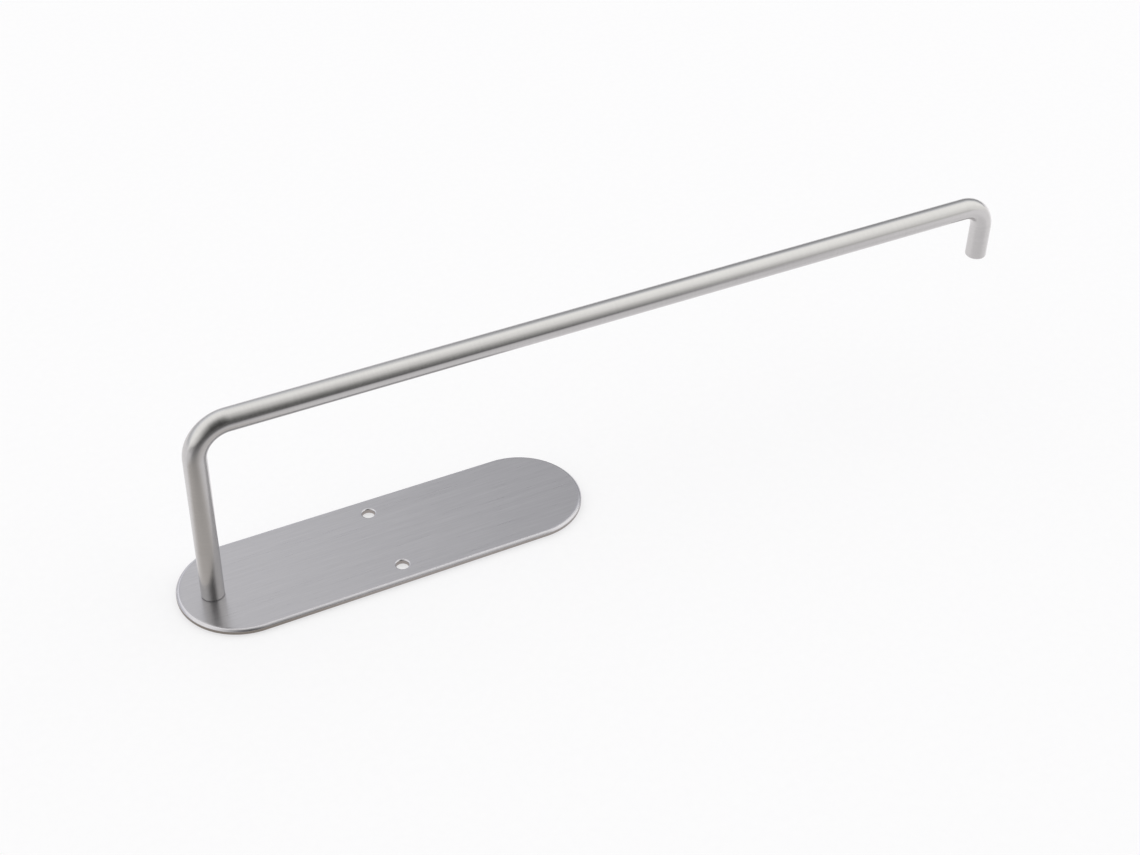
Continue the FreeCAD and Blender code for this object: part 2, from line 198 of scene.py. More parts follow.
class StageSettings(bpy.types.PropertyGroup):
    """Floor, light and camera."""

    floor_reach: length("Floor reach", "Distance from the middle of the floor to its edge", 5.0)
    floor: colour("Floor", "Colour of the floor", "#FBFBFC")
    from_below: share("Light from below", "Share of the floor's light that comes up through it", 0.6)
    lamps_below: FloatProperty(name="Lamps below", description="Strength of that light", default=1.03, min=0)
    light: FloatProperty(name="Light", description="Strength of the studio's light", default=1.42, min=0)
    azimuth: turn("Azimuth", "Where the camera stands round the object", -28.69)
    elevation: turn("Elevation", "How high the camera stands above the horizon", 38.13)
    roll: turn("Roll", "How far the camera leans", 1.45)
    distance: length("Distance", "Distance from the camera to the point that it looks at", 0.6536)
    aim: FloatVectorProperty(
        name="Aim",
        description="Where the camera looks, from the middle of the object's box",
        default=(-0.0166, -0.0006, -0.0114),
        size=3,
        subtype="TRANSLATION",
        unit="LENGTH",
    )
    lens: FloatProperty(name="Lens", description="Focal length", default=57.79, min=1, unit="CAMERA")


# ---------------------------------------------------------------------------------------------------
# Mesh building: every piece is a skin of rings joined by quads, with a grain map in millimetres whose
# u runs the way the grain spreads a highlight and whose v runs along the grain.


def circle_ring(centre, radius, steps, first=(1, 0, 0), second=(0, 1, 0)):
    """Points round a circle; radius is one number, or one for each point."""
    angles = np.arange(steps) * 2 * math.pi / steps
    radii = np.broadcast_to(np.asarray(radius, float), (steps,))
    reach = np.outer(radii * np.cos(angles), first) + np.outer(radii * np.sin(angles), second)
    return np.asarray(centre, float) + reach


def circle_spine(centre, steps):
    """The spine of a circle: the same middle and a unit normal for every point round it."""
    normals = circle_ring((0, 0, 0), 1.0, steps)
    return np.tile(np.asarray((centre[0], centre[1], 0.0)), (steps, 1)), normals


def stadium_spine(half_length, radius, arc_steps, side_steps):
    """The spine of a straight-sided plate with round ends, anticlockwise from the middle of its right end.
    Every outline point is its middle plus the radius, less any inset, times its normal."""
    reach = half_length - radius
    middles, normals = [], []
    for end in (1, -1):
        start = -math.pi / 2 if end == 1 else math.pi / 2
        for step in range(arc_steps + 1):
            angle = start + math.pi * step / arc_steps
            middles.append((end * reach, 0, 0))
            normals.append((math.cos(angle), math.sin(angle), 0))
        for step in range(1, side_steps):
            middles.append((end * reach * (1 - 2 * step / side_steps), 0, 0))
            normals.append((0, end, 0))
    return np.array(middles, float), np.array(normals, float)


def spine_ring(spine, radius, height):
    """The ring at that distance from a spine, at that height; both may be one number for each point."""
    middles, normals = spine
    points = middles + np.reshape(np.broadcast_to(radius, (len(middles),)), (-1, 1)) * normals
    points[:, 2] = height
    return points


def girth(points):
    """Distance round a closed ring to each of its points, and to the first one again, in millimetres."""
    steps = np.linalg.norm(np.roll(points, -1, axis=0) - points, axis=1)
    return np.concatenate(([0.0], np.cumsum(steps))) / MM


def soften(profile, radius, steps=3):
    """A profile whose corners are rounded to about that radius."""
    # A corner never takes up more than this share of the shorter line beside it.
    most = 0.45
    softened = [profile[0]]
    for before, corner, after in zip(profile, profile[1:], profile[2:]):
        before, corner, after = (np.array(point, float) for point in (before, corner, after))
        back, onward = before - corner, after - corner
        room = most * min(np.linalg.norm(back), np.linalg.norm(onward))
        start = corner + back / np.linalg.norm(back) * min(radius, room)
        end = corner + onward / np.linalg.norm(onward) * min(radius, room)
        for step in range(steps + 1):
            t = step / steps
            softened.append(tuple((1 - t) ** 2 * start + 2 * t * (1 - t) * corner + t**2 * end))
    return softened + [profile[-1]]


def thread_depth(angles, height, settings, start, end):
    """Depth of the thread at each angle round the shank. It fades in and out over one pitch, and its
    crests stand at the same places on the screw and in the tapped hole."""
    crest_share, flank_share = 0.14, 0.66
    phase = np.mod(height / settings.pitch - angles / (2 * math.pi), 1.0)
    from_crest = np.abs(2 * phase - 1)
    cut = np.clip((from_crest - crest_share) / flank_share, 0, 1)
    fade = np.clip(min(height - start, end - height) / settings.pitch, 0, 1)
    return settings.thread_depth * fade * cut


def new_skin():
    """An empty mesh under construction, and its grain map."""
    bm = bmesh.new()
    return bm, bm.loops.layers.uv.new(GRAIN_MAP)


def place_ring(bm, points):
    """The vertices of one ring."""
    return [bm.verts.new(point) for point in points]


def join_rings(skin, rings, around, finish=0, grain_round=True, travelled=0.0):
    """Joins rings of vertices, in order, by quads that face outwards when the rings climb. around is the
    grain map's distance round the ring. Returns the distance travelled from ring to ring."""
    bm, grain = skin
    count = len(rings[0])
    ruler = count // 4
    for lower, upper in zip(rings, rings[1:]):
        onward = travelled + (upper[ruler].co - lower[ruler].co).length / MM
        for here in range(count):
            there = (here + 1) % count
            face = bm.faces.new((lower[here], lower[there], upper[there], upper[here]))
            face.smooth = True
            face.material_index = finish
            places = ((here, travelled), (here + 1, travelled), (here + 1, onward), (here, onward))
            for loop, (column, distance) in zip(face.loops, places):
                spot = (distance, around[column]) if grain_round else (around[column], distance)
                loop[grain].uv = spot
        travelled = onward
    return travelled


def close_ring(skin, ring, tip, finish=0, first=False):
    """Closes a ring with a fan of triangles to its tip; first where the skin starts there."""
    bm, grain = skin
    pole = bm.verts.new(tip)
    for here, vertex in enumerate(ring):
        there = ring[(here + 1) % len(ring)]
        corners = (pole, there, vertex) if first else (vertex, there, pole)
        face = bm.faces.new(corners)
        face.smooth = True
        face.material_index = finish
        for loop in face.loops:
            loop[grain].uv = (loop.vert.co.y / MM, loop.vert.co.x / MM)


def fill_face(skin, loops, upward, finish=0):
    """Fills the flat face between an outline and its holes; its grain runs along X."""
    bm, grain = skin
    edges = []
    for ring in loops:
        for vertex, following in zip(ring, ring[1:] + ring[:1]):
            edges.append(bm.edges.get((vertex, following)))
    normal = (0, 0, 1 if upward else -1)
    made = bmesh.ops.triangle_fill(bm, use_beauty=True, use_dissolve=False, edges=edges, normal=normal)
    faces = [part for part in made["geom"] if isinstance(part, bmesh.types.BMFace)]
    if not faces:
        raise RuntimeError("a flat face could not be filled between its outline and its holes")
    for face in faces:
        if (face.normal.z > 0) != upward:
            face.normal_flip()
        face.smooth = True
        face.material_index = finish
        for loop in face.loops:
            loop[grain].uv = (loop.vert.co.y / MM, loop.vert.co.x / MM)


def finish_piece(name, skin, materials, node):
    """Makes the object, gives it its finishes, and lets it stand for its CAD node."""
    bm = skin[0]
    bm.normal_update()
    if any(not edge.is_manifold for edge in bm.edges):
        raise RuntimeError(f"{name} is not a closed skin")
    mesh = bpy.data.meshes.new(name)
    bm.to_mesh(mesh)
    bm.free()
    for material in materials:
        mesh.materials.append(material)
    mesh.set_sharp_from_angle(angle=SHARP_ANGLE)
    piece = bpy.data.objects.new(name, mesh)
    bpy.context.scene.collection.objects.link(piece)
    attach(piece, "root")
    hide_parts(node)
    return piece


# ---------------------------------------------------------------------------------------------------
# Materials


def add_node(tree, kind, options=None, values=None, links=None, stops=None):
    """Adds a node with its options, socket values, incoming links and colour ramp stops."""
    node = tree.nodes.new(kind)
    for name, value in (options or {}).items():
        setattr(node, name, value)
    for socket, value in (values or {}).items():
        node.inputs[socket].default_value = value
    for socket, source in (links or {}).items():
        tree.links.new(source, node.inputs[socket])
    for index, (position, shade) in enumerate(stops or []):
        elements = node.color_ramp.elements
        stop = elements[index] if index < 2 else elements.new(position)
        stop.position = position
        stop.color = (*shade, 1.0)
    return node


def new_material(name):
    """A node material with nothing in it but its output."""
    material = bpy.data.materials.new(name)
    material.use_nodes = True
    material.node_tree.nodes.clear()
    output = material.node_tree.nodes.new("ShaderNodeOutputMaterial")
    return material, material.node_tree, output.inputs["Surface"]


def tinted(shade, gain):
    """A linear colour made lighter or darker, no brighter than white."""
    return tuple(min(1.0, channel * gain) for channel in shade)


def satin_stainless_rod(settings):
    """304 stainless rod, belt-polished while it turned. The fine grain runs round the rod, so highlights
    stay crisp round it and smear along it, and the grey is slightly warm."""
    material, tree, surface = new_material("satin_stainless_rod")
    along = add_node(tree, "ShaderNodeUVMap", {"uv_map": GRAIN_MAP})
    along_rod = add_node(tree, "ShaderNodeSeparateXYZ", links={0: along.outputs["UV"]})
    place = add_node(tree, "ShaderNodeTexCoord")
    across = add_node(tree, "ShaderNodeSeparateXYZ", links={0: place.outputs["Object"]})
    # A 240-grit belt leaves lines 0.06 mm apart; they are drawn at the coarser pitch of the settings so
    # that they show, each a few millimetres long round the rod.
    line_length = 7 * MM
    lines_u = add_node(
        tree,
        "ShaderNodeMath",
        {"operation": "MULTIPLY"},
        {1: MM / settings.grain_pitch},
        {0: along_rod.outputs["X"]},
    )
    lines_y, lines_z = (
        add_node(
            tree, "ShaderNodeMath", {"operation": "MULTIPLY"}, {1: 1 / line_length}, {0: across.outputs[axis]}
        )
        for axis in "YZ"
    )
    lines = add_node(
        tree,
        "ShaderNodeCombineXYZ",
        links={0: lines_u.outputs[0], 1: lines_y.outputs[0], 2: lines_z.outputs[0]},
    )
    grain = add_node(
        tree,
        "ShaderNodeTexNoise",
        values={"Scale": 1.0, "Detail": 3.0, "Roughness": 0.6},
        links={0: lines.outputs[0]},
    )
    cloud_size = 22 * MM
    clouds = add_node(
        tree,
        "ShaderNodeTexNoise",
        values={"Scale": 1 / cloud_size, "Detail": 2.0},
        links={0: place.outputs["Object"]},
    )
    shades = add_node(
        tree,
        "ShaderNodeValToRGB",
        links={0: grain.outputs["Fac"]},
        stops=((0.3, tinted(settings.steel, 0.97)), (0.7, tinted(settings.steel, 1.03))),
    )
    cloudy = add_node(
        tree,
        "ShaderNodeMapRange",
        values={"From Min": 0.3, "From Max": 0.7, "To Min": 0.97, "To Max": 1.0},
        links={"Value": clouds.outputs["Fac"]},
    )
    shade = add_node(
        tree,
        "ShaderNodeVectorMath",
        {"operation": "SCALE"},
        links={0: shades.outputs["Color"], "Scale": cloudy.outputs["Result"]},
    )
    roughness = add_node(
        tree,
        "ShaderNodeMapRange",
        values={
            "From Min": 0.3,
            "From Max": 0.7,
            "To Min": settings.roughness - 0.02,
            "To Max": settings.roughness + 0.03,
        },
        links={"Value": grain.outputs["Fac"]},
    )
    relief = add_node(
        tree,
        "ShaderNodeBump",
        values={"Strength": 0.05, "Distance": 0.02 * MM},
        links={"Height": grain.outputs["Fac"]},
    )
    lay = add_node(tree, "ShaderNodeTangent", {"direction_type": "UV_MAP", "uv_map": GRAIN_MAP})
    steel = add_node(
        tree,
        "ShaderNodeBsdfPrincipled",
        values={"Metallic": 1.0, "Anisotropic": 0.6},
        links={
            "Base Color": shade.outputs[0],
            "Roughness": roughness.outputs["Result"],
            "Normal": relief.outputs["Normal"],
            "Tangent": lay.outputs["Tangent"],
        },
    )
    tree.links.new(steel.outputs["BSDF"], surface)
    return material


def brushed_stainless_sheet(settings):
    """304 stainless sheet with a long-grain brushed finish. The lines run along the plate, so reflections
    smear across it, and the lit face reads as a cool, even grey with fine streaks."""
    material, tree, surface = new_material("brushed_stainless_sheet")
    place = add_node(tree, "ShaderNodeTexCoord")
    # The belt's lines are about 0.1 mm apart; they are drawn at the coarser pitch of the settings so that
    # they show, with a second, broader set for the deeper strokes.
    fine_lines = add_node(
        tree,
        "ShaderNodeMapping",
        values={"Scale": (1 / settings.grain_length, 1 / settings.grain_pitch, 1.0)},
        links={"Vector": place.outputs["Object"]},
    )
    stroke_pitch = 2.2 * MM
    stroke_length = 60 * MM
    stroke_lines = add_node(
        tree,
        "ShaderNodeMapping",
        values={"Location": (3.1, 7.7, 0.0), "Scale": (1 / stroke_length, 1 / stroke_pitch, 1.0)},
        links={"Vector": place.outputs["Object"]},
    )
    grain = add_node(
        tree,
        "ShaderNodeTexNoise",
        values={"Scale": 1.0, "Detail": 3.0, "Roughness": 0.75},
        links={0: fine_lines.outputs["Vector"]},
    )
    strokes = add_node(
        tree,
        "ShaderNodeTexNoise",
        values={"Scale": 1.0, "Detail": 2.0},
        links={0: stroke_lines.outputs["Vector"]},
    )
    mixed = add_node(
        tree,
        "ShaderNodeMix",
        {"data_type": "FLOAT"},
        {"Factor": 0.3},
        {"A": grain.outputs["Fac"], "B": strokes.outputs["Fac"]},
    )
    shades = add_node(
        tree,
        "ShaderNodeValToRGB",
        links={0: mixed.outputs["Result"]},
        stops=((0.3, tinted(settings.steel, 0.9)), (0.7, tinted(settings.steel, 1.1))),
    )
    roughness = add_node(
        tree,
        "ShaderNodeMapRange",
        values={
            "From Min": 0.3,
            "From Max": 0.7,
            "To Min": settings.roughness - 0.04,
            "To Max": settings.roughness + 0.05,
        },
        links={"Value": mixed.outputs["Result"]},
    )
    relief = add_node(
        tree,
        "ShaderNodeBump",
        values={"Strength": 0.05, "Distance": 0.03 * MM},
        links={"Height": grain.outputs["Fac"]},
    )
    lay = add_node(tree, "ShaderNodeTangent", {"direction_type": "UV_MAP", "uv_map": GRAIN_MAP})
    steel = add_node(
        tree,
        "ShaderNodeBsdfPrincipled",
        values={"Metallic": 1.0, "Anisotropic": 0.8},
        links={
            "Base Color": shades.outputs["Color"],
            "Roughness": roughness.outputs["Result"],
            "Normal": relief.outputs["Normal"],
            "Tangent": lay.outputs["Tangent"],
        },
    )
    tree.links.new(steel.outputs["BSDF"], surface)
    return material


def linished_steel_bevel(settings):
    """The sheet's bevels, linished on a fine belt after cutting: smoother than the face, with a faint
    waviness along the edge. Their steel is the face's steel painted brighter, partly for the polish and
    partly as a painted highlight along the edge."""
    material, tree, surface = new_material("linished_steel_bevel")
    place = add_node(tree, "ShaderNodeTexCoord")
    wave_length = 5 * MM
    waves = add_node(
        tree,
        "ShaderNodeTexNoise",
        values={"Scale": 1 / wave_length, "Detail": 3.0},
        links={0: place.outputs["Object"]},
    )
    # Painted highlight: the bevel's steel is a brighter copy of the face's, partly for its polish and partly
    # to light the edge.
    shades = add_node(
        tree,
        "ShaderNodeValToRGB",
        links={0: waves.outputs["Fac"]},
        stops=((0.3, tinted(settings.steel, 1.22)), (0.7, tinted(settings.steel, 1.36))),
    )
    roughness = add_node(
        tree,
        "ShaderNodeMapRange",
        values={"From Min": 0.3, "From Max": 0.7, "To Min": 0.2, "To Max": 0.28},
        links={"Value": waves.outputs["Fac"]},
    )
    relief = add_node(
        tree,
        "ShaderNodeBump",
        values={"Strength": 0.15, "Distance": 0.05 * MM},
        links={"Height": waves.outputs["Fac"]},
    )
    steel = add_node(
        tree,
        "ShaderNodeBsdfPrincipled",
        values={"Metallic": 1.0},
        links={
            "Base Color": shades.outputs["Color"],
            "Roughness": roughness.outputs["Result"],
            "Normal": relief.outputs["Normal"],
        },
    )
    tree.links.new(steel.outputs["BSDF"], surface)
    return material


def cut_steel_edge(settings):
    """The sheet's laser-cut wall, left as cut: fine striations straight down the wall and a brownish heat
    tint. It is darker than the brushed face partly for that tint and partly as painted shade for the shaded
    floor that the wall reflects at its foot."""
    material, tree, surface = new_material("cut_steel_edge")
    round_edge = add_node(tree, "ShaderNodeUVMap", {"uv_map": GRAIN_MAP})
    # Striations are about 0.15 mm apart; they are drawn at 0.3 mm so that they show, and the pattern
    # changes little over the wall's height. The grain map is in millimetres, and so are these two.
    striation_pitch = 0.3
    striation_length = 2.5
    stretched = add_node(
        tree,
        "ShaderNodeMapping",
        values={"Scale": (1 / striation_pitch, 1 / striation_length, 1.0)},
        links={"Vector": round_edge.outputs["UV"]},
    )
    striations = add_node(
        tree,
        "ShaderNodeTexNoise",
        values={"Scale": 1.0, "Detail": 2.0, "Roughness": 0.6},
        links={0: stretched.outputs["Vector"]},
    )
    # Painted shade: these dark browns stand partly for the heat tint and partly for the shaded floor that the
    # wall reflects.
    shades = add_node(
        tree,
        "ShaderNodeValToRGB",
        links={0: striations.outputs["Fac"]},
        stops=((0.3, linear("#938D89")), (0.7, linear("#A8A39E"))),
    )
    roughness = add_node(
        tree,
        "ShaderNodeMapRange",
        values={"From Min": 0.3, "From Max": 0.7, "To Min": 0.34, "To Max": 0.48},
        links={"Value": striations.outputs["Fac"]},
    )
    relief = add_node(
        tree,
        "ShaderNodeBump",
        values={"Strength": 0.3, "Distance": 0.05 * MM},
        links={"Height": striations.outputs["Fac"]},
    )
    steel = add_node(
        tree,
        "ShaderNodeBsdfPrincipled",
        values={"Metallic": 1.0},
        links={
            "Base Color": shades.outputs["Color"],
            "Roughness": roughness.outputs["Result"],
            "Normal": relief.outputs["Normal"],
        },
    )
    tree.links.new(steel.outputs["BSDF"], surface)
    return material


def turned_stainless_screw(settings):
    """Stainless screw steel, cold-headed with a rolled thread and a turned head: plain bright metal with
    faint turning rings."""
    material, tree, surface = new_material("turned_stainless_screw")
    place = add_node(tree, "ShaderNodeTexCoord")
    centred = add_node(
        tree,
        "ShaderNodeMapping",
        values={"Location": (-LEG_X, 0, 0)},
        links={"Vector": place.outputs["Object"]},
    )
    # Turning marks are about 0.05 mm apart; they are drawn at 0.2 mm so that they show. A wave texture's
    # bands stand 0.314 apart at a scale of 1.
    ring_pitch = 0.2 * MM
    band_pitch = 0.314
    marks = add_node(
        tree,
        "ShaderNodeTexWave",
        {"wave_type": "RINGS", "rings_direction": "Z"},
        {"Scale": band_pitch / ring_pitch, "Distortion": 0.6, "Detail": 2.0},
        {"Vector": centred.outputs["Vector"]},
    )
    stain_size = 1.5 * MM
    stains = add_node(
        tree,
        "ShaderNodeTexNoise",
        values={"Scale": 1 / stain_size, "Detail": 3.0},
        links={0: place.outputs["Object"]},
    )
    shades = add_node(
        tree,
        "ShaderNodeValToRGB",
        links={0: stains.outputs["Fac"]},
        stops=((0.3, tinted(settings.steel, 0.86)), (0.7, tinted(settings.steel, 1.06))),
    )
    roughness = add_node(
        tree,
        "ShaderNodeMapRange",
        values={"To Min": settings.roughness - 0.04, "To Max": settings.roughness + 0.06},
        links={"Value": marks.outputs["Fac"]},
    )
    relief = add_node(
        tree,
        "ShaderNodeBump",
        values={"Strength": 0.15, "Distance": 0.02 * MM},
        links={"Height": marks.outputs["Fac"]},
    )
    steel = add_node(
        tree,
        "ShaderNodeBsdfPrincipled",
        values={"Metallic": 1.0},
        links={
            "Base Color": shades.outputs["Color"],
            "Roughness": roughness.outputs["Result"],
            "Normal": relief.outputs["Normal"],
        },
    )
    tree.links.new(steel.outputs["BSDF"], surface)
    return material


def foam_tape(settings):
    """Die-cut closed-cell polyethylene foam: matte, off-white, with the cut cells open at its edge."""
    material, tree, surface = new_material("foam_tape")
    place = add_node(tree, "ShaderNodeTexCoord")
    cells = add_node(
        tree,
        "ShaderNodeTexVoronoi",
        values={"Scale": 1 / settings.cell_size, "Randomness": 1.0},
        links={"Vector": place.outputs["Object"]},
    )
    # Painted shade: the colour is darkest where the cells dip, in their hollows.
    shades = add_node(
        tree,
        "ShaderNodeValToRGB",
        links={0: cells.outputs["Distance"]},
        stops=((0.0, tinted(settings.foam, 0.78)), (0.6, tinted(settings.foam, 1.05))),
    )
    relief = add_node(
        tree,
        "ShaderNodeBump",
        values={"Strength": 0.6, "Distance": 0.08 * MM},
        links={"Height": cells.outputs["Distance"]},
    )
    foam = add_node(
        tree,
        "ShaderNodeBsdfPrincipled",
        values={"Roughness": 0.85, "IOR": 1.5, "Specular IOR Level": 0.25},
        links={"Base Color": shades.outputs["Color"], "Normal": relief.outputs["Normal"]},
    )
    tree.links.new(foam.outputs["BSDF"], surface)
    return material


def embossed_release_film(settings):
    """Dyed polyethylene release film, blown and then embossed with small diamonds: glossy and slippery."""
    material, tree, surface = new_material("embossed_release_film")
    place = add_node(tree, "ShaderNodeTexCoord")
    turned = add_node(
        tree,
        "ShaderNodeMapping",
        values={"Rotation": (0, 0, math.radians(45))},
        links={"Vector": place.outputs["Object"]},
    )
    diamonds = add_node(
        tree,
        "ShaderNodeTexVoronoi",
        {"distance": "CHEBYCHEV"},
        {"Scale": 1 / settings.emboss_pitch, "Randomness": 0.0},
        {"Vector": turned.outputs["Vector"]},
    )
    haze_size = 9 * MM
    haze = add_node(
        tree,
        "ShaderNodeTexNoise",
        values={"Scale": 1 / haze_size, "Detail": 3.0},
        links={0: place.outputs["Object"]},
    )
    shades = add_node(
        tree,
        "ShaderNodeValToRGB",
        links={0: haze.outputs["Fac"]},
        stops=((0.3, tinted(settings.film, 0.88)), (0.7, tinted(settings.film, 1.1))),
    )
    roughness = add_node(
        tree,
        "ShaderNodeMapRange",
        values={"To Min": settings.roughness, "To Max": settings.roughness + 0.1},
        links={"Value": haze.outputs["Fac"]},
    )
    relief = add_node(
        tree,
        "ShaderNodeBump",
        values={"Strength": 0.35, "Distance": 0.05 * MM},
        links={"Height": diamonds.outputs["Distance"]},
    )
    film = add_node(
        tree,
        "ShaderNodeBsdfPrincipled",
        values={"IOR": 1.51},
        links={
            "Base Color": shades.outputs["Color"],
            "Roughness": roughness.outputs["Result"],
            "Normal": relief.outputs["Normal"],
        },
    )
    tree.links.new(film.outputs["BSDF"], surface)
    return material


def opal_acrylic_floor(settings):
    """A matt opal acrylic table, cast and lit from below as well as above: nearly white, with soft shadows
    that stay pale and a faint unevenness of its sanded face."""
    material, tree, surface = new_material("opal_acrylic_floor")
    place = add_node(tree, "ShaderNodeTexCoord")
    mottle_size = 3 * MM
    mottle = add_node(
        tree,
        "ShaderNodeTexNoise",
        values={"Scale": 1 / mottle_size, "Detail": 4.0},
        links={0: place.outputs["Object"]},
    )
    shades = add_node(
        tree,
        "ShaderNodeValToRGB",
        links={0: mottle.outputs["Fac"]},
        stops=((0.3, tinted(settings.floor, 0.993)), (0.7, tinted(settings.floor, 1.003))),
    )
    share_above = 1 - settings.from_below
    dimmed = add_node(
        tree,
        "ShaderNodeVectorMath",
        {"operation": "SCALE"},
        {"Scale": share_above},
        {0: shades.outputs["Color"]},
    )
    acrylic = add_node(
        tree,
        "ShaderNodeBsdfPrincipled",
        values={
            "Roughness": 0.9,
            "Specular IOR Level": 0.1,
            "Emission Strength": settings.from_below * settings.lamps_below,
        },
        links={"Base Color": dimmed.outputs[0], "Emission Color": shades.outputs["Color"]},
    )
    tree.links.new(acrylic.outputs["BSDF"], surface)
    # Its glow is wide and even, so it need not be sampled as a lamp.
    material.cycles.emission_sampling = "NONE"
    return material


def painted_reflection_shade():
    """A glowing sheet of painted shade, seen only in reflections: it darkens softly towards the front, most
    of all straight ahead and far off, with two painted soft shadows to the left of the leg."""
    material, tree, surface = new_material("painted_reflection_shade")
    place = add_node(tree, "ShaderNodeTexCoord")
    across = add_node(tree, "ShaderNodeSeparateXYZ", links={0: place.outputs["Object"]})
    rightwards = add_node(
        tree,
        "ShaderNodeVectorMath",
        {"operation": "DOT_PRODUCT"},
        {1: (1.0, 0.53, 0.0)},
        {0: place.outputs["Object"]},
    )
    # Each painted shadow's middle, and how far it reaches along X and Y.
    from_shadows = []
    for centre, reach in (
        ((LEG_X - 35 * MM, -48 * MM, 0.0), (95 * MM, 80 * MM)),
        ((LEG_X - 77 * MM, -220 * MM, 0.0), (170 * MM, 180 * MM)),
    ):
        away = add_node(
            tree,
            "ShaderNodeVectorMath",
            {"operation": "SUBTRACT"},
            {1: centre},
            {0: place.outputs["Object"]},
        )
        scaled = add_node(
            tree,
            "ShaderNodeVectorMath",
            {"operation": "MULTIPLY"},
            {1: (1 / reach[0], 1 / reach[1], 0.0)},
            {0: away.outputs[0]},
        )
        from_shadows.append(
            add_node(tree, "ShaderNodeVectorMath", {"operation": "LENGTH"}, links={0: scaled.outputs[0]})
        )
    # Each fall of painted shade or light runs smoothly from its first level to its last while its source goes
    # from start to end. In turn: the painted change from back to front, the painted dark bay growing towards
    # the front and ending towards the right, the near painted shadow, the far painted shadow, and the painted
    # brighter right-hand end.
    falls = []
    for source, start, end, first, last in (
        (across.outputs["Y"], 45 * MM, -45 * MM, 1.06, 0.9),
        (across.outputs["Y"], -75 * MM, -400 * MM, 0.0, 0.82),
        (rightwards.outputs["Value"], -10 * MM, 330 * MM, 1.0, 0.0),
        (from_shadows[0].outputs["Value"], 0.45, 1.05, 0.65, 1.0),
        (from_shadows[1].outputs["Value"], 0.4, 1.1, 0.4, 1.0),
        (across.outputs["X"], 250 * MM, 360 * MM, 1.0, 1.2),
    ):
        falls.append(
            add_node(
                tree,
                "ShaderNodeMapRange",
                {"interpolation_type": "SMOOTHSTEP"},
                {"From Min": start, "From Max": end, "To Min": first, "To Max": last},
                {"Value": source},
            )
        )
    dark_bay = add_node(
        tree,
        "ShaderNodeMath",
        {"operation": "MULTIPLY"},
        links={0: falls[1].outputs["Result"], 1: falls[2].outputs["Result"]},
    )
    bay_left = add_node(tree, "ShaderNodeMath", {"operation": "SUBTRACT"}, {0: 1.0}, {1: dark_bay.outputs[0]})
    level = bay_left
    for fall in (falls[0], falls[3], falls[4], falls[5]):
        level = add_node(
            tree,
            "ShaderNodeMath",
            {"operation": "MULTIPLY"},
            links={0: level.outputs[0], 1: fall.outputs["Result"]},
        )
    # Painted shadow tint: the near painted shadow is a little warmer.
    tint = add_node(
        tree,
        "ShaderNodeValToRGB",
        links={0: falls[3].outputs["Result"]},
        stops=((0.6, linear("#FFF9F4")), (1.0, linear("#FCFAFC"))),
    )
    glow = add_node(
        tree,
        "ShaderNodeEmission",
        links={"Color": tint.outputs["Color"], "Strength": level.outputs[0]},
    )
    tree.links.new(glow.outputs["Emission"], surface)
    # Only reflections meet this glow, so it need not be sampled as a lamp either.
    material.cycles.emission_sampling = "NONE"
    return material


# ---------------------------------------------------------------------------------------------------
# Pieces


